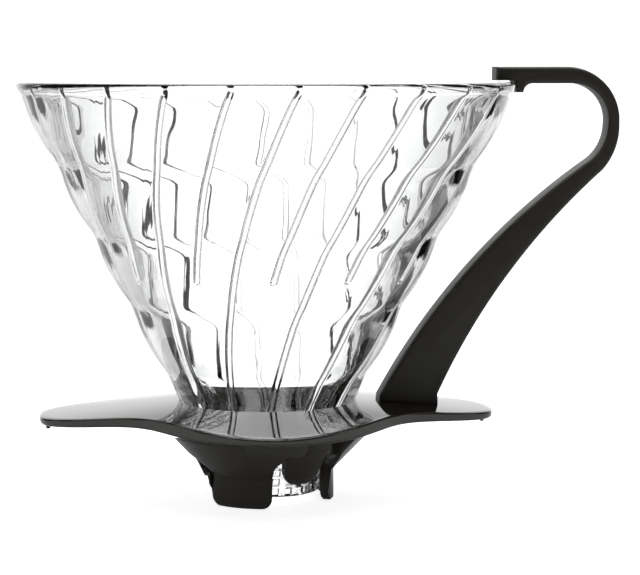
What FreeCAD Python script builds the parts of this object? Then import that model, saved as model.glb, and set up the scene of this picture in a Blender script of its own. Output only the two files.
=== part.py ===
import FreeCAD, Part
import math
import os

# Pour over dripper: a pressed-glass cone with spiral inner ribs stands in a winged plastic base,
# and a tabbed lock ring below clamps the glass neck. A strap handle hooks over the glass rim.
# Millimetres, +Z up. The origin is the centre of the glass outlet's lower mouth.
# +X points to the handle, -Y to the front.

# ---- glass cone ----
RIM_R = 58.0
RIM_TOP_Z = 96.1
BEAD_HEIGHT = 2.6
BEAD_CURL = 0.25
RIM_ROUND = 0.5
RIM_BEVEL = 0.4
RING_TOP_R = 57.2
RING_COUNT = 4
RING_PITCH_Z = 16.45
RING_STEP_R = 8.43
RING_BULGE = 0.88
SEAT_R = 20.8
SEAT_Z = 21.6
NECK_R = 12.3
NECK_TOP_Z = 9.5
INNER_RIM_R = 54.6
OUTLET_R = 10.0
OUTLET_TOP_Z = 10.5

# ---- spiral ribs inside the cone ----
RIB_PAIRS = 12
RIB_WIDTH = 1.75
RIB_HEIGHT = 1.2
RIB_ROOT = 0.9
RIB_CREST_SHARE = 0.55
RIB_TURN_PER_MM = 0.47
RIB_TOP_Z = 95.0
LONG_RIB_END_Z = 15.0
SHORT_RIB_END_Z = 52.5
FIRST_RIB_ANGLE = -87.35
RIB_SECTION_STEP = 13.0

# ---- coarse three-start thread between the neck and the lock ring ----
THREAD_LEAD = 15.0
THREAD_START_Z = 3.6
LUG_HEIGHT = 1.4
LUG_FIT = 0.15
LUG_EMBED = 0.5
LUG_SECTION_ANGLE = 8.0
GLASS_LUG_R = 13.4
GLASS_LUG_SPAN = (-62.0, 18.0)
RING_LUG_R = 12.6
RING_LUG_SPAN = (-12.0, 12.0)
BIG_TAB_ANGLES = (0.0, 120.0, 240.0)

# ---- winged base ----
WING_R = 53.6
WAIST_R = 31.5
WING_SHARPNESS = 0.32
WING_POWER = 3.6
WING_FALL = 0.092
FRONT_FALL = 0.435
FALL_POWER = 3.2
BASE_THICKNESS = 2.4
LIP_DEPTH = 1.6
LIP_SWELL = 1.3
LIP_POWER = 4
SHEET_INNER_R = 18.3
SHEET_TURNS = 72
SHEET_SHARES = (0.0, 0.35, 0.7, 0.93, 1.0)
HUB_R = 24.3
HUB_TOP_Z = 19.6
HUB_BOTTOM_Z = 15.6
GLASS_FIT = 0.05
CUT_MARGIN = 8.0
APRON_R = 24.6
APRON_THICKNESS = 1.6
APRON_BOTTOM_Z = 11.8
APRON_ANGLE = 34.0
APRON_EMBED = 0.8
PEG_R = 0.7
PEG_TIP_R = 0.5
PEG_LENGTH = 1.8
PEG_X = 51.5
PEG_EMBED = 0.5

# ---- seal ring and lock ring ----
SEAL_INNER_R = 16.9
SEAL_OUTER_R = 19.8
LOCK_TOP_Z = 14.0
LOCK_BORE_R = 13.6
LOCK_BORE_TOP_Z = 9.0
LOCK_CLEARANCE = 0.4
GAP_TOP_Z = 10.1
BIG_TAB_R = 15.7
BIG_TAB_BEND_Z = 5.2
BIG_TAB_FLARE = 0.97
BIG_TAB_WIDTH = 15.4
BIG_TAB_BOTTOM_Z = -2.0
BIG_TAB_CORNER = 2.2
BIG_TAB_SHOULDER = 4.0
BIG_TAB_SWEEP = 70.0
SMALL_TAB_R = 14.9
SMALL_TAB_FLARE = 0.5
SMALL_TAB_WIDTH = 8.4
SMALL_TAB_CORNER = 3.0
SMALL_TAB_SHOULDER = 0.3
SMALL_TAB_BOTTOM_Z = 3.3
SMALL_TAB_TURN = 56.0
SHOULDER_HEIGHT = 4.3
SMALL_TAB_SWEEP = 60.0
TRIM_REACH = 40.0

# ---- handle and its screws ----
HANDLE_WIDTH = 7.4
HANDLE_TOP_Z = 99.6
HANDLE_BACK_X = 83.4
HANDLE_BAR_X = 53.8
HANDLE_FOOT_X = (26.4, 40.4)
HANDLE_FOOT_Z = 16.0
SCREW_X = (31.0, 37.0)
SCREW_R = 1.3
SCREW_HEAD_R = 2.6
SCREW_HEAD_HEIGHT = 1.3
SCREW_LENGTH = 7.5
SCREW_CLEARANCE = 0.2
RECESS_LENGTH = 2.8
RECESS_WIDTH = 0.6
RECESS_DEPTH = 0.8


def point(radius, angle, z):
    """Point at a radius, an angle in degrees from +X, and a height."""
    turn = math.radians(angle)
    return FreeCAD.Vector(radius * math.cos(turn), radius * math.sin(turn), z)


def revolve(outline, start=0.0, sweep=360.0):
    """Turn a closed outline, edges in the XZ plane, about the Z axis."""
    face = Part.Face(Part.Wire(outline))
    face.rotate(FreeCAD.Vector(), FreeCAD.Vector(0, 0, 1), start)
    return face.revolve(FreeCAD.Vector(), FreeCAD.Vector(0, 0, 1), sweep)


def polygon_edges(corners):
    """Closed loop of straight edges through (x, z) corners in the XZ plane."""
    points = [FreeCAD.Vector(x, 0, z) for x, z in corners]
    return Part.makePolygon(points + points[:1]).Edges


def inner_radius(z):
    """Radius of the cone's inner wall."""
    slope = (INNER_RIM_R - OUTLET_R) / (RIM_TOP_Z - OUTLET_TOP_Z)
    return OUTLET_R + slope * (z - OUTLET_TOP_Z)


def lower_outer_radius(z):
    """Radius of the glass between its neck and the seat in the base."""
    slope = (SEAT_R - NECK_R) / (SEAT_Z - NECK_TOP_Z)
    return NECK_R + slope * (z - NECK_TOP_Z)


def ring_edges():
    """Bulging rings down the outside of the cone, one arc each."""
    edges = []
    for ring in range(RING_COUNT):
        top_r = RING_TOP_R - ring * RING_STEP_R
        top_z = RIM_TOP_Z - BEAD_HEIGHT - ring * RING_PITCH_Z
        length = math.hypot(RING_STEP_R, RING_PITCH_Z)
        middle_r = top_r - RING_STEP_R / 2 + RING_BULGE * RING_PITCH_Z / length
        middle_z = top_z - RING_PITCH_Z / 2 - RING_BULGE * RING_STEP_R / length
        top = FreeCAD.Vector(top_r, 0, top_z)
        middle = FreeCAD.Vector(middle_r, 0, middle_z)
        bottom = FreeCAD.Vector(top_r - RING_STEP_R, 0, top_z - RING_PITCH_Z)
        edges.append(Part.Arc(top, middle, bottom).toShape())
    return edges


def cone_body():
    """Glass wall: rounded rim bead, bulging rings, seat cone, neck and inner cone."""
    bead_low_z = RIM_TOP_Z - BEAD_HEIGHT
    rings = ring_edges()
    last_ring = rings[-1].Vertexes[-1].Point
    inner_rim = FreeCAD.Vector(inner_radius(bead_low_z), 0, bead_low_z)
    rim_inside = FreeCAD.Vector(INNER_RIM_R, 0, RIM_TOP_Z - RIM_BEVEL)
    rim_flat = FreeCAD.Vector(INNER_RIM_R + RIM_BEVEL, 0, RIM_TOP_Z)
    rim_crest = FreeCAD.Vector(RIM_R - RIM_ROUND, 0, RIM_TOP_Z)
    bead_side = FreeCAD.Vector(RIM_R, 0, RIM_TOP_Z - RIM_ROUND)
    diagonal = RIM_ROUND * (1 - math.sqrt(0.5))
    bead_turn = FreeCAD.Vector(RIM_R - diagonal, 0, RIM_TOP_Z - diagonal)
    bead_under = FreeCAD.Vector(RING_TOP_R, 0, bead_low_z)
    bead_curl = FreeCAD.Vector(RIM_R - BEAD_CURL, 0, (bead_low_z + RIM_TOP_Z - RIM_ROUND) / 2)
    below = [
        last_ring,
        FreeCAD.Vector(SEAT_R, 0, SEAT_Z),
        FreeCAD.Vector(NECK_R, 0, NECK_TOP_Z),
        FreeCAD.Vector(NECK_R, 0, 0),
        FreeCAD.Vector(OUTLET_R, 0, 0),
        FreeCAD.Vector(OUTLET_R, 0, OUTLET_TOP_Z),
        inner_rim,
    ]
    edges = [
        Part.makeLine(inner_rim, rim_inside),
        Part.makeLine(rim_inside, rim_flat),
        Part.makeLine(rim_flat, rim_crest),
        Part.Arc(rim_crest, bead_turn, bead_side).toShape(),
        Part.Arc(bead_side, bead_curl, bead_under).toShape(),
    ]
    return revolve(edges + rings + Part.makePolygon(below).Edges)


def spiral_rib(top_angle, end_z):
    """One rib that runs down the inner cone and turns as it goes."""
    sections = []
    steps = round((RIB_TOP_Z - end_z) / RIB_SECTION_STEP)
    for step in range(steps + 1):
        z = RIB_TOP_Z + (end_z - RIB_TOP_Z) * step / steps
        angle = top_angle - RIB_TURN_PER_MM * (RIB_TOP_Z - z)
        radius = inner_radius(z)
        half_root = math.degrees(RIB_WIDTH / 2 / radius)
        half_crest = half_root * RIB_CREST_SHARE
        corners = [
            point(radius + RIB_ROOT, angle - half_root, z),
            point(radius + RIB_ROOT, angle + half_root, z),
            point(radius - RIB_HEIGHT, angle + half_crest, z),
            point(radius - RIB_HEIGHT, angle - half_crest, z),
        ]
        sections.append(Part.makePolygon(corners + corners[:1]))
    return Part.makeLoft(sections, True, False)


def helical_lug(low_r, high_r, middle_angle, span, lift):
    """Block that climbs with the thread, its top or bottom set by lift above the thread line."""
    sections = []
    steps = round((span[1] - span[0]) / LUG_SECTION_ANGLE)
    for step in range(steps + 1):
        turn = span[0] + (span[1] - span[0]) * step / steps
        climb = THREAD_LEAD * (turn - GLASS_LUG_SPAN[0]) / 360
        z = THREAD_START_Z + climb + lift
        angle = middle_angle + turn
        corners = [
            point(low_r, angle, z),
            point(high_r, angle, z),
            point(high_r, angle, z + LUG_HEIGHT),
            point(low_r, angle, z + LUG_HEIGHT),
        ]
        sections.append(Part.makePolygon(corners + corners[:1]))
    return Part.makeLoft(sections, True, False)


def glass_cone():
    """Pressed-glass cone with its inner ribs and the thread lugs on its neck."""
    additions = []
    for pair in range(RIB_PAIRS):
        angle = FIRST_RIB_ANGLE + pair * 360 / RIB_PAIRS
        additions.append(spiral_rib(angle, LONG_RIB_END_Z))
        additions.append(spiral_rib(angle + 180 / RIB_PAIRS, SHORT_RIB_END_Z))
    for angle in BIG_TAB_ANGLES:
        lug = helical_lug(NECK_R - LUG_EMBED, GLASS_LUG_R, angle, GLASS_LUG_SPAN, -LUG_HEIGHT)
        additions.append(lug)
    return cone_body().fuse(additions)


def base_reach(angle):
    """Plan radius of the base: a round waist that grows into two wings along X."""
    across = abs(math.tan(math.radians(angle)))
    wing = 1 / (1 + (across / WING_SHARPNESS) ** WING_POWER)
    return WAIST_R + (WING_R - WAIST_R) * wing


def base_top(radius, angle):
    """Height of the base's upper face, which droops steeply to the front and back."""
    droop = abs(math.sin(math.radians(angle))) ** FALL_POWER
    slope = WING_FALL + (FRONT_FALL - WING_FALL) * droop
    return SEAT_Z - slope * (radius - SEAT_R)


def lip_depth(angle):
    """Depth of the base's outer lip: shallow at the front, back and tips, deep between them."""
    return LIP_DEPTH + LIP_SWELL * math.sin(math.radians(2 * angle)) ** 2


def base_sheet():
    """Curved winged sheet with rounded edges, one surface closed both ways round."""
    poles = []
    for turn in range(SHEET_TURNS):
        angle = (turn + 0.5) * 360 / SHEET_TURNS
        width = base_reach(angle) - SHEET_INNER_R
        radii = [SHEET_INNER_R + width * share for share in SHEET_SHARES]
        upper = [point(radius, angle, base_top(radius, angle)) for radius in radii]
        lower = []
        for pole, share in zip(upper, SHEET_SHARES):
            thinner = (BASE_THICKNESS - lip_depth(angle)) * share ** LIP_POWER
            lower.append(pole - FreeCAD.Vector(0, 0, BASE_THICKNESS - thinner))
        poles.append(upper + lower[::-1])
    rows = len(poles[0])
    surface = Part.BSplineSurface()
    surface.buildFromPolesMultsKnots(
        poles,
        [1] * (SHEET_TURNS + 1),
        [1] * (rows + 1),
        list(range(SHEET_TURNS + 1)),
        list(range(rows + 1)),
        True,
        True,
        3,
        3,
    )
    return Part.Solid(Part.Shell([surface.toShape()]))


def glass_envelope(gap):
    """Solid cone and neck a little larger than the glass, for cutting what surrounds it."""
    top_z = SEAT_Z + CUT_MARGIN
    corners = [
        (0, -CUT_MARGIN),
        (NECK_R + gap, -CUT_MARGIN),
        (NECK_R + gap, NECK_TOP_Z),
        (SEAT_R + gap, SEAT_Z),
        (lower_outer_radius(top_z) + gap, top_z),
        (0, top_z),
    ]
    return revolve(polygon_edges(corners))


def apron(middle_angle):
    """Short curved lip below the base that keeps it centred on a cup."""
    top_z = SEAT_Z - FRONT_FALL * (APRON_R - SEAT_R) - BASE_THICKNESS + APRON_EMBED
    corners = [
        (APRON_R, APRON_BOTTOM_Z),
        (APRON_R + APRON_THICKNESS, APRON_BOTTOM_Z),
        (APRON_R + APRON_THICKNESS, top_z),
        (APRON_R, top_z),
    ]
    return revolve(polygon_edges(corners), middle_angle - APRON_ANGLE / 2, APRON_ANGLE)


def wing_peg(side):
    """Small tapered peg under a wing tip."""
    tip_z = base_top(PEG_X, 0) - LIP_DEPTH - PEG_LENGTH
    foot = FreeCAD.Vector(side * PEG_X, 0, tip_z)
    return Part.makeCone(PEG_TIP_R, PEG_R, PEG_LENGTH + PEG_EMBED, foot)


def screw_seat_z(x):
    """Height of the base's lower face on the X axis, where a screw head sits."""
    return base_top(x, 0) - BASE_THICKNESS


def screw(x, gap):
    """Flat-headed screw that points up through the base into the handle."""
    seat = screw_seat_z(x)
    head = Part.makeCylinder(SCREW_HEAD_R + gap, SCREW_HEAD_HEIGHT, FreeCAD.Vector(x, 0, seat))
    shank = Part.makeCylinder(SCREW_R + gap, SCREW_LENGTH, FreeCAD.Vector(x, 0, seat))
    return head.fuse(shank)


def screw_recess(x):
    """Cross recess in the head of a screw."""
    seat = screw_seat_z(x)
    slots = []
    for length, width in ((RECESS_LENGTH, RECESS_WIDTH), (RECESS_WIDTH, RECESS_LENGTH)):
        corner = FreeCAD.Vector(x - length / 2, -width / 2, seat)
        slots.append(Part.makeBox(length, width, RECESS_DEPTH, corner))
    return slots[0].fuse(slots[1])


def handle_screws():
    """Both handle screws, as separate solids in one group."""
    return Part.makeCompound([screw(x, 0).cut(screw_recess(x)) for x in SCREW_X])


def base_body():
    """Winged base with its hub, front and back aprons and wing pegs, before any holes."""
    hub = Part.makeCylinder(HUB_R, HUB_TOP_Z - HUB_BOTTOM_Z, FreeCAD.Vector(0, 0, HUB_BOTTOM_Z))
    return base_sheet().fuse([hub, apron(-90), apron(90), wing_peg(-1), wing_peg(1)])


def base_plate(body):
    """Base with the cone seat and the screw holes cut through it."""
    holes = [glass_envelope(GLASS_FIT)]
    for x in SCREW_X:
        holes.append(screw(x, SCREW_CLEARANCE))
    return body.cut(holes)


def rounded_tab_prism(angle, width, bottom_z, corner, shoulder):
    """Radial block with rounded lower corners and spreading shoulders, to trim a tab."""
    top_z = (GAP_TOP_Z + LOCK_TOP_Z) / 2
    half = width / 2
    diagonal = corner * (1 - math.sqrt(0.5))
    low_side = FreeCAD.Vector(0, half, bottom_z + corner)
    low_bend = FreeCAD.Vector(0, half - diagonal, bottom_z + diagonal)
    low_end = FreeCAD.Vector(0, half - corner, bottom_z)
    shoulder_low = FreeCAD.Vector(0, half, GAP_TOP_Z - SHOULDER_HEIGHT)
    shoulder_bend = FreeCAD.Vector(0, half + 0.25 * shoulder, GAP_TOP_Z - SHOULDER_HEIGHT / 2)
    shoulder_high = FreeCAD.Vector(0, half + shoulder, GAP_TOP_Z)
    side = [
        Part.Arc(low_end, low_bend, low_side).toShape(),
        Part.makeLine(low_side, shoulder_low),
        Part.Arc(shoulder_low, shoulder_bend, shoulder_high).toShape(),
        Part.makeLine(shoulder_high, FreeCAD.Vector(0, half + shoulder, top_z)),
    ]
    other_side = [edge.mirror(FreeCAD.Vector(), FreeCAD.Vector(0, 1, 0)) for edge in side]
    bottom = Part.makeLine(FreeCAD.Vector(0, corner - half, bottom_z), low_end)
    top = Part.makeLine(
        FreeCAD.Vector(0, -half - shoulder, top_z),
        FreeCAD.Vector(0, half + shoulder, top_z),
    )
    outline = Part.Wire(Part.__sortEdges__(side + other_side + [bottom, top]))
    prism = Part.Face(outline).extrude(FreeCAD.Vector(TRIM_REACH, 0, 0))
    prism.rotate(FreeCAD.Vector(), FreeCAD.Vector(0, 0, 1), angle)
    return prism


def lock_bore_top_r():
    """Radius of the lock ring's bore at its top, clear of the glass."""
    return lower_outer_radius(LOCK_TOP_Z) + LOCK_CLEARANCE


def lock_bore_corners():
    """Inner side of the lock ring, from its top down to the tab ends."""
    return [(lock_bore_top_r(), LOCK_TOP_Z), (LOCK_BORE_R, LOCK_BORE_TOP_Z)]


def big_tab(angle):
    """Wide tab: flared above, upright below, with a thread lug on its inner side."""
    flare_r = BIG_TAB_R + BIG_TAB_FLARE * (LOCK_TOP_Z - BIG_TAB_BEND_Z)
    corners = lock_bore_corners() + [
        (LOCK_BORE_R, BIG_TAB_BOTTOM_Z),
        (BIG_TAB_R, BIG_TAB_BOTTOM_Z),
        (BIG_TAB_R, BIG_TAB_BEND_Z),
        (flare_r, LOCK_TOP_Z),
    ]
    petal = revolve(polygon_edges(corners), angle - BIG_TAB_SWEEP / 2, BIG_TAB_SWEEP)
    prism = rounded_tab_prism(
        angle, BIG_TAB_WIDTH, BIG_TAB_BOTTOM_Z, BIG_TAB_CORNER, BIG_TAB_SHOULDER
    )
    above = Part.makeCylinder(TRIM_REACH, LOCK_TOP_Z, FreeCAD.Vector(0, 0, GAP_TOP_Z))
    return petal.common(prism.fuse(above))


def small_tab(angle):
    """Narrow tab with a half-round end."""
    flare_r = SMALL_TAB_R + SMALL_TAB_FLARE * (LOCK_TOP_Z - SMALL_TAB_BOTTOM_Z)
    corners = lock_bore_corners() + [
        (LOCK_BORE_R, SMALL_TAB_BOTTOM_Z),
        (SMALL_TAB_R, SMALL_TAB_BOTTOM_Z),
        (flare_r, LOCK_TOP_Z),
    ]
    petal = revolve(polygon_edges(corners), angle - SMALL_TAB_SWEEP / 2, SMALL_TAB_SWEEP)
    prism = rounded_tab_prism(
        angle, SMALL_TAB_WIDTH, SMALL_TAB_BOTTOM_Z, SMALL_TAB_CORNER, SMALL_TAB_SHOULDER
    )
    return petal.common(prism)


def lock_ring():
    """Conical ring that clamps the glass, with three wide and three narrow tabs."""
    flare = SMALL_TAB_FLARE * (LOCK_TOP_Z - GAP_TOP_Z)
    low_r = SMALL_TAB_R + SMALL_TAB_FLARE * (GAP_TOP_Z - SMALL_TAB_BOTTOM_Z)
    share = (GAP_TOP_Z - LOCK_BORE_TOP_Z) / (LOCK_TOP_Z - LOCK_BORE_TOP_Z)
    bore_r = LOCK_BORE_R + share * (lock_bore_top_r() - LOCK_BORE_R)
    corners = [
        (lock_bore_top_r(), LOCK_TOP_Z),
        (bore_r, GAP_TOP_Z),
        (low_r, GAP_TOP_Z),
        (low_r + flare, LOCK_TOP_Z),
    ]
    collar = revolve(polygon_edges(corners))
    pieces = []
    for angle in BIG_TAB_ANGLES:
        pieces.append(big_tab(angle))
        pieces.append(small_tab(angle + SMALL_TAB_TURN))
        pieces.append(
            helical_lug(RING_LUG_R, LOCK_BORE_R + LUG_EMBED, angle, RING_LUG_SPAN, LUG_FIT)
        )
    return collar.fuse(pieces)


def seal_ring():
    """Flat silicone ring squeezed between the lock ring and the base's hub."""
    corners = [
        (SEAL_INNER_R, LOCK_TOP_Z),
        (SEAL_OUTER_R, LOCK_TOP_Z),
        (SEAL_OUTER_R, HUB_BOTTOM_Z),
        (SEAL_INNER_R, HUB_BOTTOM_Z),
    ]
    return revolve(polygon_edges(corners))


def handle_outline():
    """Side view of the handle: top bar, rim hook, round shoulder and tapering strap."""
    def at(x, z):
        return FreeCAD.Vector(x, 0, z)

    foot_front_x, foot_back_x = HANDLE_FOOT_X
    bar_end = at(HANDLE_BAR_X, HANDLE_TOP_Z)
    shoulder = at(71.0, HANDLE_TOP_Z)
    shoulder_bend = at(79.7, 95.9)
    back = at(HANDLE_BACK_X, 86.0)
    back_bend = at(82.5, 80.3)
    knee = at(79.6, 75.4)
    strap_outer_bow = at(58.1, 52.2)
    heel = at(foot_back_x, 22.4)
    toe_back = at(foot_back_x, HANDLE_FOOT_Z)
    toe_front = at(foot_front_x, HANDLE_FOOT_Z)
    instep = at(foot_front_x, 22.2)
    strap_inner_bow = at(44.6, 48.8)
    inner_knee = at(75.8, 77.3)
    inner_bend = at(79.3, 80.9)
    inner_back = at(80.7, 85.8)
    inner_shoulder_bend = at(78.9, 92.4)
    inner_shoulder = at(72.8, 95.7)
    hook_outside = at(62.4, 95.7)
    hook_bend = at(60.9, 95.0)
    lug_outside = at(60.3, 93.5)
    lug_inside = at(58.7, 93.5)
    rim_side = at(58.4, 95.6)
    rim_bend = at(58.2, 96.15)
    notch = at(57.6, 96.4)
    bar_under = at(HANDLE_BAR_X, 96.4)
    return [
        Part.makeLine(bar_end, shoulder),
        Part.Arc(shoulder, shoulder_bend, back).toShape(),
        Part.Arc(back, back_bend, knee).toShape(),
        Part.Arc(knee, strap_outer_bow, heel).toShape(),
        Part.makeLine(heel, toe_back),
        Part.makeLine(toe_back, toe_front),
        Part.makeLine(toe_front, instep),
        Part.Arc(instep, strap_inner_bow, inner_knee).toShape(),
        Part.Arc(inner_knee, inner_bend, inner_back).toShape(),
        Part.Arc(inner_back, inner_shoulder_bend, inner_shoulder).toShape(),
        Part.makeLine(inner_shoulder, hook_outside),
        Part.Arc(hook_outside, hook_bend, lug_outside).toShape(),
        Part.makeLine(lug_outside, lug_inside),
        Part.makeLine(lug_inside, rim_side),
        Part.Arc(rim_side, rim_bend, notch).toShape(),
        Part.makeLine(notch, bar_under),
        Part.makeLine(bar_under, bar_end),
    ]


def handle(body):
    """Flat strap handle whose foot is shaped to the base's upper face."""
    face = Part.Face(Part.Wire(handle_outline()))
    face.translate(FreeCAD.Vector(0, -HANDLE_WIDTH / 2, 0))
    strap = face.extrude(FreeCAD.Vector(0, HANDLE_WIDTH, 0))
    pieces = strap.cut([body] + [screw(x, 0) for x in SCREW_X])
    return max(pieces.Solids, key=lambda solid: solid.Volume)


def write_step(name, shape):
    """Write one sub-part to its own file."""
    shape.exportStep(os.path.join("parts", name + ".step"))


os.makedirs("parts", exist_ok=True)
body = base_body()
write_step("glass_cone", glass_cone().Solids[0])
write_step("base_plate", base_plate(body).Solids[0])
write_step("handle", handle(body))
write_step("handle_screws", handle_screws())
write_step("seal_ring", seal_ring())
write_step("lock_ring", lock_ring().Solids[0])
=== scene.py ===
import math

import bpy
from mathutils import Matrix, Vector


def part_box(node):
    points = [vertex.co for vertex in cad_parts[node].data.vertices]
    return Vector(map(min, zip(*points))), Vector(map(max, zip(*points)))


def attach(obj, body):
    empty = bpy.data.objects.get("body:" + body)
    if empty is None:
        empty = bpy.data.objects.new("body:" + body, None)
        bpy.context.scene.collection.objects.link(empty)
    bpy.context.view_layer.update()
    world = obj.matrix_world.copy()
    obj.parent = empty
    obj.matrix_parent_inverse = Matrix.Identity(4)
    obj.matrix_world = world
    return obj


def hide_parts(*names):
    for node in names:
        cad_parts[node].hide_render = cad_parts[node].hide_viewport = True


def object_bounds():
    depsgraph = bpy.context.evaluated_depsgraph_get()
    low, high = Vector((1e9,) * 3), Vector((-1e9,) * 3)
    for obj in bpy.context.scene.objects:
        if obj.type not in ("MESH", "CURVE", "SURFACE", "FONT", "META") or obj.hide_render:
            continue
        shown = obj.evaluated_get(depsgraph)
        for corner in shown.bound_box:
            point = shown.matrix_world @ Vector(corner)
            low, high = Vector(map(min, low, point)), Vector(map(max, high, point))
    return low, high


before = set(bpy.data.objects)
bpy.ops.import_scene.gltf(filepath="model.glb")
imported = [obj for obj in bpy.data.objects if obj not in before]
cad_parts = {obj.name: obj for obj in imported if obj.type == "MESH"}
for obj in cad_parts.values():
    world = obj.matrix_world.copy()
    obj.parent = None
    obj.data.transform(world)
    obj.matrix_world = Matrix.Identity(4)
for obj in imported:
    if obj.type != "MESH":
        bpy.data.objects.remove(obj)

# Pour over dripper: clear pressed glass in a glossy black winged base.
# Metres, +Z up, +X towards the handle. The origin is the centre of the glass outlet's mouth.

MM = 0.001
VIEW_TURN = math.radians(6)  # how far the handle is turned away from the camera
cad_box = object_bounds()

# ---- sizes that the pieces share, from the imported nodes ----
glass_low, glass_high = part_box("glass_cone")
base_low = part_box("base_plate")[0]
handle_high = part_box("handle")[1]
ring_low, ring_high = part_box("lock_ring")
seal_low, seal_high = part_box("seal_ring")
RIM_R = glass_high.y
RIM_TOP = glass_high.z
MOUTH_Z = glass_low.z

# ---- glass ----
BEAD_HEIGHT = 2.6 * MM
BEAD_CURL = 0.25 * MM
RIM_ROUND = 0.8 * MM
RIM_BEVEL = 0.4 * MM
RINGS = 4
RING_TOP_R = RIM_R - 0.8 * MM
RING_STEP_R = 8.43 * MM
RING_STEP_Z = 16.45 * MM
RING_BULGE = 1.1 * MM
RING_VALLEY = 0.12  # part of a ring's length, at each end, that is a rounded valley
RING_SET_IN = 0.2  # part of the bulge by which the rings are set into the cone
RING_POINTS = 22
SEAT_R = 20.8 * MM
SEAT_Z = 21.6 * MM
NECK_R = 12.3 * MM
NECK_TOP = 9.5 * MM
INNER_RIM_R = RIM_R - 3.4 * MM
OUTLET_R = 10.0 * MM
OUTLET_TOP = 10.5 * MM
RIB_COUNT = 24
RIB_HALF_WIDTH = 0.9 * MM
RIB_EDGE = 1.08  # where the plain wall beside a rib starts, in half widths
RIB_FLANK = 0.62  # part of the half width that a rib's rounded flank takes
RIB_HEIGHT = 1.2 * MM
RIB_TOP = RIM_TOP - 0.5 * MM
RIB_TOP_FADE = 2.2 * MM
LONG_RIB_END = 15.0 * MM
SHORT_RIB_END = 52.5 * MM
RIB_FADE = 1.6 * MM
RIB_TURN = math.radians(0.47) / MM  # turn of a rib per height
FIRST_RIB = math.radians(-86.83)

# ---- thread shared by the glass neck and the lock ring ----
LEAD = 15.0 * MM
THREAD_START = 3.6 * MM
LUG_HEIGHT = 1.4 * MM
LUG_RISE = 1.1 * MM
LUG_FIT = 0.15 * MM
LUG_END_FADE = 0.06  # radians
RECESS_DEPTH = 0.45 * MM
RECESS_ROWS = (1.4 * MM, 3.6 * MM, 5.8 * MM)
RECESS_HALF = 0.85 * MM
RECESS_SIDE_SLOPE = 0.25  # parts of a recess's half width and half height that slope
RECESS_END_SLOPE = 0.3
GLASS_LUG = (math.radians(-62), math.radians(18))
RING_LUG = (math.radians(-12), math.radians(12))
BIG_TABS = (0.0, math.radians(120), math.radians(240))

# ---- base ----
WING_R = 53.45 * MM
WAIST_R = 31.5 * MM
WING_SHARPNESS = 0.32  # tangent of the angle where a wing is halfway out from the waist
WING_POWER = 3.6
WING_FALL = 0.092  # slope of the wings
FRONT_FALL = 0.435  # slope of the front and the back
FALL_POWER = 3.2
BASE_THICKNESS = 2.4 * MM
LIP_DEPTH = 1.6 * MM
LIP_SWELL = 1.3 * MM
LIP_POWER = 4
HUB_R = 24.3 * MM
HUB_BOTTOM = seal_high.z
APRON_INNER_R = 24.6 * MM
APRON_OUTER_R = 26.2 * MM
APRON_HALF = math.radians(17)
APRON_CORNER = 3.0 * MM
PEG_X = 51.5 * MM
PEG_LENGTH = 1.8 * MM
SEAT_GAP = 0.08 * MM  # between the glass and the base

# ---- handle ----
HANDLE_EDGE = 0.9 * MM

# ---- lock ring ----
BORE_R = 13.6 * MM
BORE_BEND = 9.0 * MM
GAP_TOP = 10.1 * MM
SHOULDER_HEIGHT = 4.3 * MM
WIDE_TAB_R = 15.7 * MM
WIDE_TAB_FLARE = 0.97
WIDE_TAB_BEND = 5.2 * MM
WIDE_TAB_WIDTH = 15.4 * MM
WIDE_TAB_CORNER = 2.2 * MM
WIDE_TAB_SHOULDER = 1.8 * MM
SMALL_TAB_R = 14.9 * MM
SMALL_TAB_FLARE = 0.5
SMALL_TAB_LOW = 3.3 * MM
SMALL_TAB_WIDTH = 8.4 * MM
SMALL_TAB_CORNER = 3.0 * MM
SMALL_TAB_SHOULDER = 0.2 * MM
SMALL_TAB_TURN = math.radians(56)  # from a wide tab to the narrow one beside it
RING_LUG_INNER_R = 12.6 * MM
RING_LUG_OUTER_R = 13.9 * MM
SEAL_INNER_R = 16.9 * MM

# ---- camera ----
CAMERA_PITCH = math.radians(5.96)
CAMERA_DISTANCE = 505 * MM
CAMERA_ASIDE = 12.5 * MM
CAMERA_ABOVE_RIM = 4.5 * MM
CAMERA_SENSOR = 36.0
CAMERA_LENS = 121.3

# ---- studio: strengths of glow, and the edges between them ----
# An edge is in radians round from straight behind the object, except that BACKDROP_RISE and
# TOP_EDGE are in the upward part of a direction.
FLOOR_RADIUS = 0.55
FLOOR_SEEN = 0.85
FLOOR_BEHIND = 0.9
FLOOR_BESIDE = 0.05
FLOOR_EDGE = (0.35, 0.9)
FLOOR_BOUNCED = 0.13
WORLD_SEEN = 1.3
ROOM_GLOW = 0.05
BACKDROP_GLOW = 1.4
BACKDROP_EDGE = (0.38, 1.0)
BACKDROP_TOP = 2.4  # how many times brighter the backdrop is high up
BACKDROP_RISE = (0.45, 0.75)
STRIP_GLOW = 0.7
STRIP_NEAR_EDGE = (1.75, 1.85)
STRIP_FAR_EDGE = (2.05, 2.15)
FRONT_GLOW = 0.08
FRONT_EDGE = (2.4, 2.8)
TOP_GLOW = 0.8
TOP_EDGE = (0.80, 0.92)
LIGHT_AIM = (0, 0, 50 * MM)


def blend_between(low, high, value):
    """Smooth step from 0 at low to 1 at high."""
    share = min(1.0, max(0.0, (value - low) / (high - low)))
    return share * share * (3 - 2 * share)


def polar(radius, angle, z):
    return Vector((radius * math.cos(angle), radius * math.sin(angle), z))


def spread(low, high, count):
    """count values from low to high, both ends included."""
    return [low + (high - low) * step / (count - 1) for step in range(count)]


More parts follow.
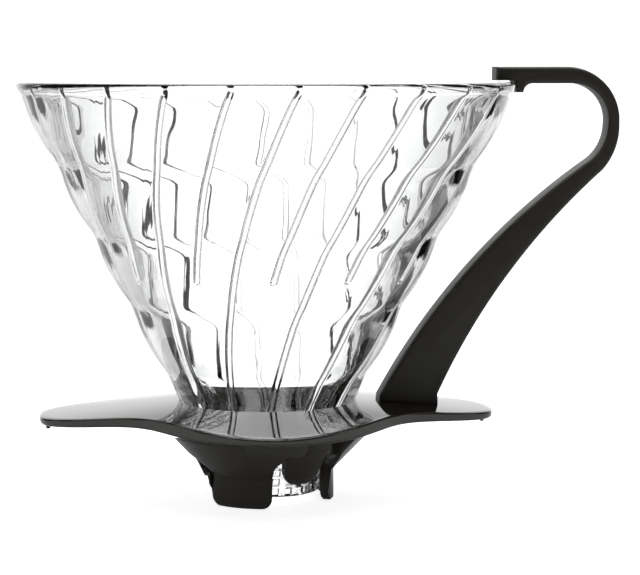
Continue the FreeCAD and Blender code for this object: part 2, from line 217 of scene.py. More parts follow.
def new_object(name, points, faces, smooth_angle=None):
    mesh = bpy.data.meshes.new(name)
    mesh.from_pydata([tuple(p) for p in points], [], faces)
    mesh.validate()
    for polygon in mesh.polygons:
        polygon.use_smooth = True
    if smooth_angle is not None:
        mesh.set_sharp_from_angle(angle=smooth_angle)
    piece = bpy.data.objects.new(name, mesh)
    bpy.context.scene.collection.objects.link(piece)
    return piece


def grid_faces(columns, rows, wrap_columns, wrap_rows):
    """Quads over a grid of points stored column by column."""
    faces = []
    for i in range(columns if wrap_columns else columns - 1):
        for j in range(rows if wrap_rows else rows - 1):
            a = i * rows + j
            b = i * rows + (j + 1) % rows
            c = ((i + 1) % columns) * rows + (j + 1) % rows
            d = ((i + 1) % columns) * rows + j
            faces.append((a, d, c, b))
    return faces


def closed_ring(name, sections, smooth_angle=None):
    """Ring-shaped piece from closed sections set round the axis."""
    points = [p for section in sections for p in section]
    faces = grid_faces(len(sections), len(sections[0]), True, True)
    return new_object(name, points, faces, smooth_angle)


def turned_ring(name, profile, smooth_angle):
    """Ring with the same (radius, z) profile all the way round."""
    count = 144
    sections = []
    for step in range(count):
        angle = math.tau * step / count
        sections.append([polar(radius, angle, z) for radius, z in profile])
    return closed_ring(name, sections, smooth_angle)


def capped_sweep(sections):
    """Points and faces of a closed solid from closed sections, with a flat cap at each end."""
    points = [p for section in sections for p in section]
    rows = len(sections[0])
    faces = grid_faces(len(sections), rows, False, True)
    faces.append(tuple(range(rows)))
    last = (len(sections) - 1) * rows
    faces.append(tuple(last + j for j in reversed(range(rows))))
    return points, faces


def arc_through(start, middle, end, count):
    """Points of the circular arc through three (x, z) points, without its last point."""
    ax, az = start
    bx, bz = middle
    cx, cz = end
    d = 2 * (ax * (bz - cz) + bx * (cz - az) + cx * (az - bz))
    a2 = ax * ax + az * az
    b2 = bx * bx + bz * bz
    c2 = cx * cx + cz * cz
    ox = (a2 * (bz - cz) + b2 * (cz - az) + c2 * (az - bz)) / d
    oz = (a2 * (cx - bx) + b2 * (ax - cx) + c2 * (bx - ax)) / d
    radius = math.hypot(ax - ox, az - oz)
    first = math.atan2(az - oz, ax - ox)
    via = (math.atan2(bz - oz, bx - ox) - first) % math.tau
    sweep = (math.atan2(cz - oz, cx - ox) - first) % math.tau
    if via > sweep:
        sweep -= math.tau
    points = []
    for step in range(count):
        angle = first + sweep * step / count
        points.append((ox + radius * math.cos(angle), oz + radius * math.sin(angle)))
    return points


# ---------------------------------------------------------------- glass cone

def inner_radius(z):
    slope = (INNER_RIM_R - OUTLET_R) / (RIM_TOP - OUTLET_TOP)
    return OUTLET_R + slope * (z - OUTLET_TOP)


def lower_radius(z):
    """Outer radius of the glass between its neck and its seat."""
    slope = (SEAT_R - NECK_R) / (SEAT_Z - NECK_TOP)
    return NECK_R + slope * (z - NECK_TOP)


def ring_bulge(share):
    """How far a ring stands out of the cone, part of the way down it, with a soft valley."""
    from_edge = min(share, 1 - share)
    if from_edge >= RING_VALLEY:
        return 4 * from_edge * (1 - from_edge)
    slope = 4 - 8 * RING_VALLEY
    at_valley = 4 * RING_VALLEY * (1 - RING_VALLEY)
    return at_valley - slope / (2 * RING_VALLEY) * (RING_VALLEY ** 2 - from_edge ** 2)


def outer_profile():
    """(radius, z) from the neck's mouth up the outside to the rim crest."""
    profile = [(OUTLET_R + 0.5 * MM, MOUTH_Z), (NECK_R - 0.5 * MM, MOUTH_Z)]
    profile += [(NECK_R - 0.15 * MM, MOUTH_Z + 0.15 * MM)]
    profile += [(NECK_R, z) for z in spread(MOUTH_Z + 0.5 * MM, NECK_TOP - 0.8 * MM, 42)]
    profile += [(lower_radius(z), z) for z in spread(NECK_TOP + 0.8 * MM, SEAT_Z - 1.5 * MM, 8)]
    ring_end_r = RING_TOP_R - RINGS * RING_STEP_R
    ring_end_z = RIM_TOP - BEAD_HEIGHT - RINGS * RING_STEP_Z
    profile += list(zip(spread(SEAT_R + 0.3 * MM, ring_end_r - 0.3 * MM, 5),
                        spread(SEAT_Z + 0.5 * MM, ring_end_z - 0.7 * MM, 5)))
    length = math.hypot(RING_STEP_R, RING_STEP_Z)
    for step in range(RINGS * RING_POINTS):
        down = RINGS - step / RING_POINTS
        out = RING_BULGE * (ring_bulge(down % 1.0) - RING_SET_IN)
        profile.append((RING_TOP_R - down * RING_STEP_R + out * RING_STEP_Z / length,
                        RIM_TOP - BEAD_HEIGHT - down * RING_STEP_Z - out * RING_STEP_R / length))
    bead_low = RIM_TOP - BEAD_HEIGHT
    bead_side = (RIM_R, RIM_TOP - RIM_ROUND)
    crest = (RIM_R - RIM_ROUND, RIM_TOP)
    diagonal = RIM_ROUND * (1 - math.sqrt(0.5))
    profile += arc_through((RING_TOP_R, bead_low),
                           (RIM_R - BEAD_CURL, (bead_low + bead_side[1]) / 2), bead_side, 7)
    profile += arc_through(bead_side, (RIM_R - diagonal, RIM_TOP - diagonal), crest, 6)
    profile += [crest, (crest[0] - 0.15 * MM, RIM_TOP)]
    return profile


def inner_profile():
    """(radius, z) from the rim crest down the inside to the outlet's mouth."""
    flat = INNER_RIM_R + RIM_BEVEL
    diagonal = RIM_BEVEL * (1 - math.sqrt(0.5))
    profile = [(flat + 0.15 * MM, RIM_TOP)]
    profile += arc_through((flat, RIM_TOP),
                           (INNER_RIM_R + diagonal, RIM_TOP - diagonal),
                           (INNER_RIM_R, RIM_TOP - RIM_BEVEL), 5)
    heights = spread(RIM_TOP - RIM_BEVEL, RIB_TOP - RIB_TOP_FADE, 12)
    heights += spread(RIB_TOP - RIB_TOP_FADE, SHORT_RIB_END + RIB_FADE, 46)[1:]
    heights += spread(SHORT_RIB_END + RIB_FADE, SHORT_RIB_END, 8)[1:]
    heights += spread(SHORT_RIB_END, LONG_RIB_END + RIB_FADE, 40)[1:]
    heights += spread(LONG_RIB_END + RIB_FADE, OUTLET_TOP, 10)[1:]
    profile += [(inner_radius(z), z) for z in heights]
    profile += [(OUTLET_R, z) for z in spread(OUTLET_TOP - 0.6 * MM, MOUTH_Z + 0.4 * MM, 8)]
    return profile


def rib_columns():
    """(rib number, offset across the rib in metres or None, share of the way to the next rib)."""
    one_side = (0.3, 0.58, 0.66, 0.75, 0.84, 0.93, 1.0, RIB_EDGE)
    across = [-share for share in reversed(one_side)] + list(one_side)
    columns = []
    for rib in range(RIB_COUNT):
        columns += [(rib, share * RIB_HALF_WIDTH, 0.0) for share in across]
        columns += [(rib, None, share) for share in (0.25, 0.5, 0.75)]
    return columns


def rib_height(rib, offset, z):
    """How far a rib stands out of the inner wall."""
    if offset is None or abs(offset) >= RIB_HALF_WIDTH:
        return 0.0
    end = LONG_RIB_END if rib % 2 == 0 else SHORT_RIB_END
    if z >= RIB_TOP or z <= end:
        return 0.0
    from_top = min(1.0, (RIB_TOP - z) / RIB_TOP_FADE)
    from_end = min(1.0, (z - end) / RIB_FADE)
    ends = from_top ** 2 * (3 - 2 * from_top) * math.sqrt(1 - (1 - from_end) ** 2)
    flank = blend_between(0.0, RIB_FLANK, 1 - abs(offset / RIB_HALF_WIDTH))
    return RIB_HEIGHT * ends * flank


def column_angle(rib, offset, share, radius, z):
    """Angle of a column at a height: along a rib, or part of the way to the next one."""
    pitch = math.tau / RIB_COUNT
    start = FIRST_RIB + rib * pitch - RIB_TURN * (RIM_TOP - z)
    edge = RIB_EDGE * RIB_HALF_WIDTH / radius
    if offset is not None:
        return start + offset / radius
    return start + edge + share * (pitch - 2 * edge)


def neck_lug(angle, z):
    """How far the thread lugs stand out of the neck."""
    rise = 0.0
    for tab in BIG_TABS:
        turn = (angle - tab + math.pi) % math.tau - math.pi
        top = THREAD_START + LEAD * (turn - GLASS_LUG[0]) / math.tau
        across = blend_between(top - LUG_HEIGHT - 0.25 * MM, top - LUG_HEIGHT + 0.1 * MM, z)
        across *= 1 - blend_between(top - 0.1 * MM, top + 0.1 * MM, z)
        along = blend_between(GLASS_LUG[0], GLASS_LUG[0] + LUG_END_FADE, turn)
        along *= 1 - blend_between(GLASS_LUG[1] - LUG_END_FADE, GLASS_LUG[1], turn)
        rise = max(rise, LUG_RISE * across * along)
    return rise


def neck_recess(offset, z):
    """Depth of the plain moulded recesses in the neck, in rows, one under every rib."""
    if offset is None:
        return 0.0
    across = blend_between(0.0, RECESS_SIDE_SLOPE, 1 - abs(offset / RIB_HALF_WIDTH))
    depth = 0.0
    for middle in RECESS_ROWS:
        inside = 1 - abs(z - middle) / RECESS_HALF
        depth = max(depth, blend_between(0.0, RECESS_END_SLOPE, inside))
    return RECESS_DEPTH * across * depth


def make_glass():
    outside = outer_profile()
    inside = inner_profile()
    sections = []
    for rib, offset, share in rib_columns():
        section = []
        for radius, z in outside:
            angle = column_angle(rib, offset, share, max(radius, OUTLET_R), z)
            out = 0.0
            if z < NECK_TOP and radius >= NECK_R:
                out = neck_lug(angle, z) or -neck_recess(offset, z)
            section.append(polar(radius + out, angle, z))
        for radius, z in inside:
            angle = column_angle(rib, offset, share, radius, z)
            section.append(polar(radius - rib_height(rib, offset, z), angle, z))
        sections.append(section)
    return closed_ring("glass_body", sections)


# ---------------------------------------------------------------- winged base

def base_reach(angle):
    across = abs(math.tan(angle))
    wing = 1 / (1 + (across / WING_SHARPNESS) ** WING_POWER)
    return WAIST_R + (WING_R - WAIST_R) * wing


def base_top(radius, angle):
    droop = abs(math.sin(angle)) ** FALL_POWER
    slope = WING_FALL + (FRONT_FALL - WING_FALL) * droop
    return SEAT_Z - slope * (radius - SEAT_R)


def lip_depth(angle):
    """Depth of the outer lip: shallow at the front, back and wing tips, deep between them."""
    return LIP_DEPTH + LIP_SWELL * math.sin(2 * angle) ** 2


def base_under(radius, angle):
    """Height of the base's lower face."""
    share = max(0.0, (radius - SEAT_R) / (base_reach(angle) - SEAT_R))
    thinner = (BASE_THICKNESS - lip_depth(angle)) * share ** LIP_POWER
    return base_top(radius, angle) - BASE_THICKNESS + thinner


def base_section(angle):
    """Closed section of the base at one angle: top, lip, underside, hub and seat."""
    reach = base_reach(angle)
    upper_edge = 0.4 * MM
    lower_edge = 0.6 * MM
    hub_edge = 0.3 * MM
    hub_fillet = 0.4 * MM
    section = []
    for share in spread(0.0, 1.0, 18):
        radius = SEAT_R + SEAT_GAP + (reach - upper_edge - SEAT_R - SEAT_GAP) * share
        section.append((radius, base_top(radius, angle)))
    lip_top = base_top(reach, angle)
    lip_low = lip_top - lip_depth(angle)
    for step in range(1, 6):
        turn = math.pi / 2 * step / 5
        section.append((reach - upper_edge + upper_edge * math.sin(turn),
                        lip_top - upper_edge + upper_edge * math.cos(turn)))
    for step in range(7):
        turn = math.pi / 2 * step / 6
        section.append((reach - lower_edge + lower_edge * math.cos(turn),
                        lip_low + lower_edge - lower_edge * math.sin(turn)))
    for share in spread(0.03, 1.0, 12):
        radius = reach - lower_edge + (HUB_R + hub_fillet - reach + lower_edge) * share
        section.append((radius, base_under(radius, angle)))
    hub_top = base_under(HUB_R, angle) - hub_fillet
    section += [(HUB_R, hub_top), (HUB_R, HUB_BOTTOM + hub_edge), (HUB_R - hub_edge, HUB_BOTTOM)]
    bottom_r = lower_radius(HUB_BOTTOM) + SEAT_GAP
    section += [(bottom_r + hub_edge, HUB_BOTTOM), (bottom_r, HUB_BOTTOM + hub_edge)]
    return [polar(radius, angle, z) for radius, z in section]


def base_angles():
    """Angles round the base, closer together at the tips of the wings."""
    count = 360
    crowding = 0.35
    angles = []
    for step in range(count):
        turn = math.tau * step / count
        angles.append(turn - crowding * math.sin(2 * turn))
    return angles


def make_base():
    return closed_ring("base_shell", [base_section(angle) for angle in base_angles()],
                       math.radians(50))


def corner_rise(from_side, corner):
    """How far a rounded lower corner lifts an edge, at a distance from the side."""
    from_side = min(corner, from_side)
    return corner - math.sqrt(max(0.0, corner ** 2 - (corner - from_side) ** 2))


def make_apron(name, middle):
    """Curved centring lip below the base, with rounded lower corners."""
    inner, outer = APRON_INNER_R, APRON_OUTER_R
    edge = 0.3 * MM
    sunk = 0.6 * MM
    top = SEAT_Z - FRONT_FALL * (outer - SEAT_R) - BASE_THICKNESS + sunk
    sections = []
    for share in spread(-1.0, 1.0, 41):
        angle = middle + APRON_HALF * share
        from_side = (1 - abs(share)) * APRON_HALF * outer
        bottom = base_low.z + corner_rise(from_side, APRON_CORNER)
        sections.append([
            polar(outer, angle, top),
            polar(outer, angle, bottom + edge),
            polar(outer - edge, angle, bottom),
            polar(inner + edge, angle, bottom),
            polar(inner, angle, bottom + edge),
            polar(inner, angle, top),
        ])
    points, faces = capped_sweep(sections)
    return new_object(name, points, faces, math.radians(40))


def make_peg(name, side):
    """Tapered peg with a rounded end under a wing tip."""
    x = PEG_X * side
    top = base_under(abs(x), 0) + 0.3 * MM
    bottom = base_under(abs(x), 0) - PEG_LENGTH
    profile = [(0.8 * MM, top), (0.68 * MM, top - 0.5 * MM), (0.55 * MM, bottom + 0.4 * MM),
               (0.48 * MM, bottom + 0.15 * MM), (0.3 * MM, bottom)]
    count = 24
    sections = []
    for radius, z in profile:
        ring = [polar(radius, math.tau * k / count, z) + Vector((x, 0, 0)) for k in range(count)]
        sections.append(ring)
    points, faces = capped_sweep(sections)
    return new_object(name, points, faces, math.radians(50))


# ---------------------------------------------------------------- handle

def handle_outline():
    """Side view of the handle as (x, z) points: bar, shoulder, strap, foot and rim hook."""
    top = handle_high.z
    back = handle_high.x
    foot_back = (40.4 * MM, base_top(40.4 * MM, 0) - 0.5 * MM)
    foot_front = (26.2 * MM, base_top(26.2 * MM, 0) - 0.5 * MM)
    shoulder = (71.0 * MM, top)
    back_point = (back, 86.0 * MM)
    knee = (79.6 * MM, 75.4 * MM)
    heel = (40.3 * MM, 22.4 * MM)
    instep = (26.4 * MM, 22.2 * MM)
    inner_knee = (75.8 * MM, 77.3 * MM)
    inner_back = (80.7 * MM, 85.8 * MM)
    inner_shoulder = (72.8 * MM, 95.7 * MM)
    hook_outside = (62.4 * MM, 95.7 * MM)
    lug_outside = (60.3 * MM, 93.6 * MM)
    lug_inside = (58.75 * MM, 93.6 * MM)
    rim_side = (58.4 * MM, 95.6 * MM)
    notch = (57.6 * MM, 96.4 * MM)
    points = [(53.8 * MM, top)]
    points += list(zip(spread(56 * MM, 69 * MM, 4), [top] * 4))
    points += arc_through(shoulder, (79.7 * MM, 95.9 * MM), back_point, 20)
    points += arc_through(back_point, (82.5 * MM, 80.3 * MM), knee, 12)
    points += arc_through(knee, (58.1 * MM, 52.2 * MM), heel, 30)
    points += [heel, foot_back, foot_front]
    points += arc_through(instep, (44.6 * MM, 48.8 * MM), inner_knee, 30)
    points += arc_through(inner_knee, (79.3 * MM, 80.9 * MM), inner_back, 10)
    points += arc_through(inner_back, (78.9 * MM, 92.4 * MM), inner_shoulder, 16)
    points += [inner_shoulder]
    points += arc_through(hook_outside, (60.9 * MM, 95.0 * MM), lug_outside, 6)
    points += [lug_outside, lug_inside]
    points += arc_through(rim_side, (58.2 * MM, 96.15 * MM), notch, 6)
    points += [notch, (53.8 * MM, 96.4 * MM)]
    return [(min(x, back), z) for x, z in points]


def inset_outline(outline, distance):
    """Outline moved inwards by a distance, along the mean normal at each point."""
    moved = []
    count = len(outline)
    for i, (x, z) in enumerate(outline):
        px, pz = outline[i - 1]
        nx, nz = outline[(i + 1) % count]
        before = Vector((x - px, z - pz)).normalized()
        after = Vector((nx - x, nz - z)).normalized()
        along = (before + after).normalized()
        inward = Vector((along.y, -along.x))
        spread_out = max(0.5, inward.dot(Vector((before.y, -before.x))))
        moved.append((x + inward.x * distance / spread_out, z + inward.y * distance / spread_out))
    return moved


def make_handle():
    """Strap handle with rounded long edges."""
    outline = handle_outline()
    half = handle_high.y
    edge = HANDLE_EDGE
    stations = []
    for step in range(6):
        turn = math.pi / 2 * step / 5
        stations.append((-half + edge - edge * math.cos(turn), edge * (1 - math.sin(turn))))
    stations += [(-y, inset) for y, inset in reversed(stations)]
    sections = []
    for y, inset in stations:
        sections.append([Vector((x, y, z)) for x, z in inset_outline(outline, inset)])
    points, faces = capped_sweep(sections)
    return new_object("handle_strap", points, faces, math.radians(40))


# ---------------------------------------------------------------- lock ring and seal

def bore_radius(z):
    """Inner radius of the lock ring."""
    if z <= BORE_BEND:
        return BORE_R
    top_r = lower_radius(ring_high.z) + 0.4 * MM
    return BORE_R + (top_r - BORE_R) * (z - BORE_BEND) / (ring_high.z - BORE_BEND)


def make_collar():
    """Whole ring at the top of the lock ring."""
    low, top = GAP_TOP, ring_high.z
    outer_low = SMALL_TAB_R + SMALL_TAB_FLARE * (low - SMALL_TAB_LOW)
    outer_top = SMALL_TAB_R + SMALL_TAB_FLARE * (top - SMALL_TAB_LOW)
    edge = 0.25 * MM
    profile = [(outer_top - edge, top), (outer_top, top - edge), (outer_low, low + edge),
               (outer_low - edge, low), (bore_radius(low) + edge, low),
               (bore_radius(low + edge), low + edge),
               (bore_radius(top - edge), top - edge), (bore_radius(top) + edge, top)]
    return turned_ring("ring_collar", profile, math.radians(35))


def tab_columns(half, low, corner, shoulder):
    """(offset, bottom height) across a tab: shoulders beside it, rounded corners below."""
    start = GAP_TOP - SHOULDER_HEIGHT
    side = []
    for share in (1.0, 0.85, 0.65, 0.45, 0.28, 0.14, 0.05, 0.0):
        side.append((half + shoulder * share, start + SHOULDER_HEIGHT * math.sqrt(share)))
    columns = [(-offset, bottom) for offset, bottom in side]
    for step in range(41):
        offset = -half * math.cos(math.pi * step / 40)
        columns.append((offset, low + corner_rise(half - abs(offset), corner)))
    return columns + side[::-1]


def make_petal(name, middle, width, outer_points, low, corner, shoulder):
    """One tab with its flared upper part, spreading shoulders and rounded lower corners."""
    outer_r = outer_points[-1][0]
    top = ring_high.z
    edge = 0.3 * MM
    sections = []
    for offset, bottom in tab_columns(width / 2, low, corner, shoulder):
        angle = middle + math.asin(offset / outer_r)
        outside = [(radius, z) for radius, z in outer_points if z > bottom + edge]
        while len(outside) < len(outer_points) - 1:
            outside.append(outside[-1])
        below = outer_radius_at(outer_points, bottom + edge)
        section = outside[:len(outer_points) - 1] + [(below, bottom + edge)]
        section += [(below - edge, bottom), (bore_radius(bottom) + edge, bottom)]
        section += [(bore_radius(bottom + edge), bottom + edge)]
        bend = max(bottom + edge, BORE_BEND)
        section += [(bore_radius(z), z) for z in (bend, (bend + top) / 2, top)]
        sections.append([polar(radius, angle, z) for radius, z in section])
    points, faces = capped_sweep(sections)
    return new_object(name, points, faces, math.radians(40))


def outer_radius_at(outer_points, z):
    """Radius on a falling outer profile at a height."""
    for (high_r, high_z), (low_r, low_z) in zip(outer_points, outer_points[1:]):
        if low_z <= z <= high_z:
            return low_r + (high_r - low_r) * (z - low_z) / (high_z - low_z)
    return outer_points[-1][0]


def make_ring_lug(name, middle):
    """Thread lug inside a wide tab."""
    inner, outer = RING_LUG_INNER_R, RING_LUG_OUTER_R
    sections = []
    for turn in spread(RING_LUG[0], RING_LUG[1], 13):
        low = THREAD_START + LEAD * (turn - GLASS_LUG[0]) / math.tau + LUG_FIT
        angle = middle + turn
        sections.append([
            polar(inner, angle, low),
            polar(outer, angle, low),
            polar(outer, angle, low + LUG_HEIGHT),
            polar(inner, angle, low + LUG_HEIGHT),
        ])
    points, faces = capped_sweep(sections)
    return new_object(name, points, faces, math.radians(40))


def make_lock_ring():
    pieces = [make_collar()]
    top = ring_high.z
    bend = WIDE_TAB_BEND
    bend_half = 0.6 * MM
    wide_outer = [(WIDE_TAB_R + WIDE_TAB_FLARE * (z - bend), z)
                  for z in spread(top, bend + bend_half, 6)]
    wide_outer += [(WIDE_TAB_R + 0.15 * MM, bend), (WIDE_TAB_R, bend - bend_half),
                   (WIDE_TAB_R, ring_low.z)]
    small_outer = [(SMALL_TAB_R + SMALL_TAB_FLARE * (z - SMALL_TAB_LOW), z)
                   for z in spread(top, SMALL_TAB_LOW, 6)]
    for k, angle in enumerate(BIG_TABS):
        pieces.append(make_petal(f"ring_wide_tab_{k}", angle, WIDE_TAB_WIDTH, wide_outer,
                                 ring_low.z, WIDE_TAB_CORNER, WIDE_TAB_SHOULDER))
        pieces.append(make_petal(f"ring_narrow_tab_{k}", angle + SMALL_TAB_TURN, SMALL_TAB_WIDTH,
                                 small_outer, SMALL_TAB_LOW, SMALL_TAB_CORNER,
                                 SMALL_TAB_SHOULDER))
        pieces.append(make_ring_lug(f"ring_lug_{k}", angle))
    return pieces


def make_seal():
    edge = 0.3 * MM
    inner, outer = SEAL_INNER_R, seal_high.x
    low, top = seal_low.z, seal_high.z
    profile = [(inner + edge, top), (outer - edge, top), (outer, top - edge), (outer, low + edge),
               (outer - edge, low), (inner + edge, low), (inner, low + edge), (inner, top - edge)]
    return turned_ring("seal_band", profile, math.radians(60))


# ---------------------------------------------------------------- materials

def new_material(name):
    material = bpy.data.materials.new(name)
    material.use_nodes = True
    nodes = material.node_tree.nodes
    shader = nodes["Principled BSDF"]
    return material, nodes, material.node_tree.links, shader


def feed(links, value, socket):
    """Sets a socket to a number, or links another node's output to it."""
    if isinstance(value, (int, float)):
        socket.default_value = value
    else:
        links.new(value, socket)


def maths(nodes, links, operation, first, second=None, clamp=False):
    node = nodes.new("ShaderNodeMath")
    node.operation = operation
    node.use_clamp = clamp
    feed(links, first, node.inputs[0])
    if second is not None:
        feed(links, second, node.inputs[1])
    return node.outputs[0]


def smooth_step(nodes, links, value, edge, start, end):
    """start below the edge's lower value, end above its higher one, smooth between them."""
    node = nodes.new("ShaderNodeMapRange")
    node.interpolation_type = "SMOOTHSTEP"
    node.inputs["From Min"].default_value = edge[0]
    node.inputs["From Max"].default_value = edge[1]
    node.inputs["To Min"].default_value = start
    node.inputs["To Max"].default_value = end
    links.new(value, node.inputs["Value"])
    return node.outputs["Result"]


def choose(nodes, links, choice, otherwise, chosen):
    """The chosen value where choice is 1, and the other where it is 0."""
    node = nodes.new("ShaderNodeMix")
    links.new(choice, node.inputs["Factor"])
    feed(links, otherwise, node.inputs["A"])
    feed(links, chosen, node.inputs["B"])
    return node.outputs["Result"]


def blend_colours(nodes, links, factor, first, second):
    node = nodes.new("ShaderNodeMix")
    node.data_type = "RGBA"
    node.inputs["A"].default_value = (*first, 1)
    node.inputs["B"].default_value = (*second, 1)
    links.new(factor, node.inputs["Factor"])
    return node.outputs["Result"]


def noise(nodes, links, scale, detail=3.0):
    """Noise in the object's own coordinates; scale is in cells a metre."""
    place = nodes.new("ShaderNodeTexCoord")
    texture = nodes.new("ShaderNodeTexNoise")
    texture.inputs["Scale"].default_value = scale
    texture.inputs["Detail"].default_value = detail
    links.new(place.outputs["Object"], texture.inputs["Vector"])
    return texture.outputs["Fac"]


def remap(nodes, links, value, low, high):
    """Spreads the middle half of a noise from low to high."""
    change = nodes.new("ShaderNodeMapRange")
    change.inputs["From Min"].default_value = 0.25
    change.inputs["From Max"].default_value = 0.75
    change.inputs["To Min"].default_value = low
    change.inputs["To Max"].default_value = high
    links.new(value, change.inputs["Value"])
    return change.outputs["Result"]


def bump(nodes, links, height, depth, under=None):
    """Bump of a real depth in metres, on top of another bump if there is one."""
    node = nodes.new("ShaderNodeBump")
    node.inputs["Strength"].default_value = 1.0
    node.inputs["Distance"].default_value = depth
    links.new(height, node.inputs["Height"])
    if under is not None:
        links.new(under, node.inputs["Normal"])
    return node.outputs["Normal"]


def glass_material():
    """Clear pressed glass: soft mould waves, faintly grey, with painted shade that darkens it at
    glancing angles.
    """
    material, nodes, links, shader = new_material("clear_pressed_glass")
    shader.inputs["Transmission Weight"].default_value = 1.0
    shader.inputs["Roughness"].default_value = 0.0
    shader.inputs["IOR"].default_value = 1.47
    facing = nodes.new("ShaderNodeLayerWeight")
    facing.inputs["Blend"].default_value = 0.5
    # Painted shade: the colour runs from faintly grey to near black at glancing angles, in place
    # of the dark surroundings that clear glass refracts.
    glancing = maths(nodes, links, "POWER", facing.outputs["Facing"], 1.7)
    tint_and_painted_shade = blend_colours(nodes, links, glancing, (0.985, 0.99, 0.99), (0.05, 0.055, 0.055))
    links.new(tint_and_painted_shade, shader.inputs["Base Color"])
    waves = noise(nodes, links, scale=70.0, detail=1.0)
    links.new(bump(nodes, links, waves, depth=0.12 * MM), shader.inputs["Normal"])
    return material


def plastic_material(name, rough_low, rough_high, ior=1.49, colour=(0.013, 0.0105, 0.0065)):
    """Warm black moulded plastic: faint mottle, roughness that varies, flow waves, fine grain."""
    material, nodes, links, shader = new_material(name)
    darker = [channel * 0.8 for channel in colour]
    paler = [channel * 1.25 for channel in colour]
    mottle = noise(nodes, links, scale=60.0)
    links.new(blend_colours(nodes, links, mottle, darker, paler), shader.inputs["Base Color"])
    wear = noise(nodes, links, scale=140.0, detail=6.0)
    links.new(remap(nodes, links, wear, rough_low, rough_high), shader.inputs["Roughness"])
    shader.inputs["IOR"].default_value = ior
    waves = noise(nodes, links, scale=45.0, detail=1.0)
    grain = noise(nodes, links, scale=2600.0, detail=2.0)
    flow = bump(nodes, links, waves, depth=0.06 * MM)
    links.new(bump(nodes, links, grain, 0.0015 * MM, flow), shader.inputs["Normal"])
    return material


def mottled_material(name, first, second, mottle_scale, rough_scale, rough, bump_scale, depth,
                     metallic=0.0):
    """Colour between two by a noise, with varying roughness and a fine bump."""
    material, nodes, links, shader = new_material(name)
    shader.inputs["Metallic"].default_value = metallic
    mottle = noise(nodes, links, mottle_scale)
    links.new(blend_colours(nodes, links, mottle, first, second), shader.inputs["Base Color"])
    roughness = remap(nodes, links, noise(nodes, links, rough_scale), *rough)
    links.new(roughness, shader.inputs["Roughness"])
    height = noise(nodes, links, bump_scale)
    links.new(bump(nodes, links, height, depth), shader.inputs["Normal"])
    return material


def silicone_material():
    """Soft grey silicone with a matte skin."""
    return mottled_material(
        "grey_silicone", (0.42, 0.42, 0.40), (0.52, 0.52, 0.50), mottle_scale=220.0,
        rough_scale=900.0, rough=(0.5, 0.68), bump_scale=1800.0, depth=0.008 * MM)


def steel_material():
    """Stainless steel with a fine even grain."""
    return mottled_material(
        "turned_steel", (0.50, 0.49, 0.47), (0.66, 0.65, 0.63), mottle_scale=1500.0,
        rough_scale=3000.0, rough=(0.22, 0.38), bump_scale=4000.0, depth=0.004 * MM,
        metallic=1.0)


def from_behind(nodes, links, place):
    """Angle in plan away from straight behind the object as the camera sees it, and the height."""
    parts = nodes.new("ShaderNodeSeparateXYZ")
    links.new(place, parts.inputs["Vector"])
    azimuth = maths(nodes, links, "ARCTAN2", parts.outputs["X"], parts.outputs["Y"])
    turned = maths(nodes, links, "SUBTRACT", azimuth, VIEW_TURN)
    return maths(nodes, links, "ABSOLUTE", turned), parts.outputs["Z"]


def floor_material():
    """Matte pale studio floor that also glows.

    The camera sees it near white. Through the glass it is bright behind the object and dim beside
    it, and in reflections and bounced light it is faint.
    """
    material, nodes, links, shader = new_material("pale_floor")
    mottle = noise(nodes, links, scale=8.0)
    shade = blend_colours(nodes, links, mottle, (0.50, 0.50, 0.50), (0.54, 0.54, 0.54))
    links.new(shade, shader.inputs["Base Color"])
    shader.inputs["Roughness"].default_value = 0.9
    shader.inputs["Specular IOR Level"].default_value = 0.1
    shader.inputs["Emission Color"].default_value = (1, 1, 1, 1)
    path = nodes.new("ShaderNodeLightPath").outputs
    place = nodes.new("ShaderNodeTexCoord")
    aside = from_behind(nodes, links, place.outputs["Object"])[0]
    through = smooth_step(nodes, links, aside, FLOOR_EDGE, FLOOR_BEHIND, FLOOR_BESIDE)
    bounced = maths(nodes, links, "MAXIMUM", path["Is Glossy Ray"], path["Is Diffuse Ray"])
    mirrored = maths(nodes, links, "SUBTRACT", bounced, path["Is Transmission Ray"], clamp=True)
    unseen = choose(nodes, links, mirrored, through, FLOOR_BOUNCED)
    glow = choose(nodes, links, path["Is Camera Ray"], unseen, FLOOR_SEEN)
    links.new(glow, shader.inputs["Emission Strength"])
    return material


# ---------------------------------------------------------------- studio

def make_floor():
    count = 96
    level = cad_box[0][2]
    points = [Vector((0, 0, level))]
    points += [polar(FLOOR_RADIUS, math.tau * k / count, level) for k in range(count)]
    faces = [(0, 1 + k, 1 + (k + 1) % count) for k in range(count)]
    floor = new_object("studio_floor", points, faces)
    floor.data.materials.append(floor_material())


def make_world():
    """White to the camera. For light and reflections, a bright backdrop behind the object, a strip
    on each side and a panel overhead, with dim surroundings."""
    world = bpy.data.worlds.new("studio")
    bpy.context.scene.world = world
    world.use_nodes = True
    nodes = world.node_tree.nodes
    links = world.node_tree.links
    background = nodes["Background"]
    place = nodes.new("ShaderNodeTexCoord")
    aside, height = from_behind(nodes, links, place.outputs["Generated"])

    def step(value, edge, start, end):
        return smooth_step(nodes, links, value, edge, start, end)

    def times(first, second):
        return maths(nodes, links, "MULTIPLY", first, second)

    def plus(first, second):
        return maths(nodes, links, "ADD", first, second)

    back = times(step(aside, BACKDROP_EDGE, BACKDROP_GLOW, 0.0),
                 step(height, BACKDROP_RISE, 1.0, BACKDROP_TOP))
    strips = times(step(aside, STRIP_NEAR_EDGE, 0.0, STRIP_GLOW),
                   step(aside, STRIP_FAR_EDGE, 1.0, 0.0))
    front = step(aside, FRONT_EDGE, 0.0, FRONT_GLOW)
    top = step(height, TOP_EDGE, 0.0, TOP_GLOW)
    glow = plus(plus(back, plus(strips, front)), plus(top, ROOM_GLOW))
    path = nodes.new("ShaderNodeLightPath")
    strength = choose(nodes, links, path.outputs["Is Camera Ray"], glow, WORLD_SEEN)
    links.new(strength, background.inputs["Strength"])
    background.inputs["Color"].default_value = (1, 1, 1, 1)


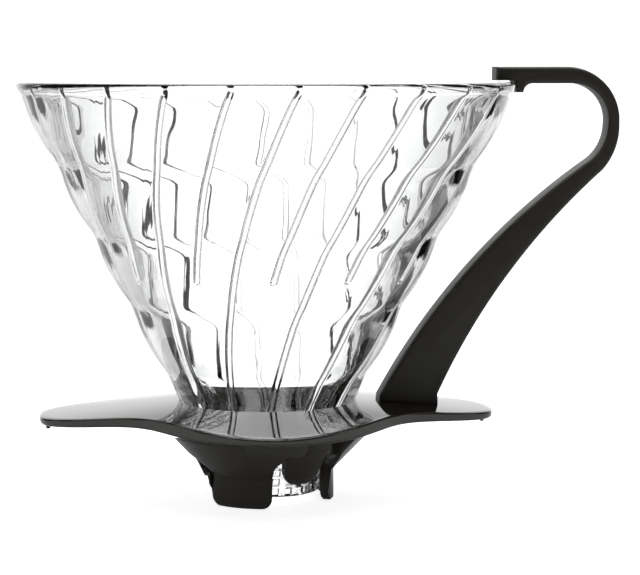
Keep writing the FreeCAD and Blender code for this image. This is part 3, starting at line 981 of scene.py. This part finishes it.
def make_light(name, place, size, power):
    """Rectangular softbox aimed at the middle of the object."""
    light = bpy.data.lights.new(name, "AREA")
    light.shape = "RECTANGLE"
    light.size, light.size_y = size
    light.energy = power
    lamp = bpy.data.objects.new(name, light)
    lamp.location = place
    direction = Vector(LIGHT_AIM) - Vector(place)
    lamp.rotation_euler = direction.to_track_quat("-Z", "Y").to_euler()
    bpy.context.scene.collection.objects.link(lamp)


def make_camera():
    """Long lens a little above the rim, looking slightly down, with the handle turned away."""
    turn = VIEW_TURN
    data = bpy.data.cameras.new("camera")
    data.sensor_width = CAMERA_SENSOR
    data.lens = CAMERA_LENS
    camera = bpy.data.objects.new("camera", data)
    camera.location = (
        CAMERA_ASIDE * math.cos(turn) - CAMERA_DISTANCE * math.sin(turn),
        -CAMERA_ASIDE * math.sin(turn) - CAMERA_DISTANCE * math.cos(turn),
        RIM_TOP + CAMERA_ABOVE_RIM,
    )
    camera.rotation_euler = (math.pi / 2 - CAMERA_PITCH, 0, -turn)
    bpy.context.scene.collection.objects.link(camera)
    bpy.context.scene.camera = camera


# ---------------------------------------------------------------- assembly

make_camera()

glass = make_glass()
glass.data.materials.append(glass_material())
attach(glass, "holder")
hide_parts("glass_cone")

gloss = plastic_material("gloss_black_plastic", 0.04, 0.09, ior=1.62)
base_pieces = [make_base(), make_apron("base_apron_front", -math.pi / 2),
               make_apron("base_apron_back", math.pi / 2),
               make_peg("base_peg_left", -1), make_peg("base_peg_right", 1)]
soft_gloss = plastic_material("soft_gloss_black_plastic", 0.30, 0.42)
for piece in base_pieces:
    piece.data.materials.append(soft_gloss if "apron" in piece.name else gloss)
    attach(piece, "holder")
    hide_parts("base_plate")

strap = make_handle()
strap.data.materials.append(plastic_material("satin_black_plastic", 0.48, 0.58))
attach(strap, "holder")
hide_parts("handle")

ring_plastic = plastic_material("semi_gloss_black_plastic", 0.16, 0.28,
                                colour=(0.022, 0.0185, 0.0145))
for piece in make_lock_ring():
    piece.data.materials.append(ring_plastic)
    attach(piece, "ring")
    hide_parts("lock_ring")

seal = make_seal()
seal.data.materials.append(silicone_material())
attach(seal, "seal")
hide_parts("seal_ring")

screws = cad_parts["handle_screws"]
screws.data.materials.clear()
screws.data.materials.append(steel_material())

make_floor()
make_world()
bpy.context.scene.view_settings.view_transform = "Standard"
make_light("overhead_softbox", place=(0.0, 0.1, 1.1), size=(0.9, 0.9), power=7)
make_light("front_softbox", place=(-0.7, -0.9, 0.9), size=(0.5, 0.7), power=2)
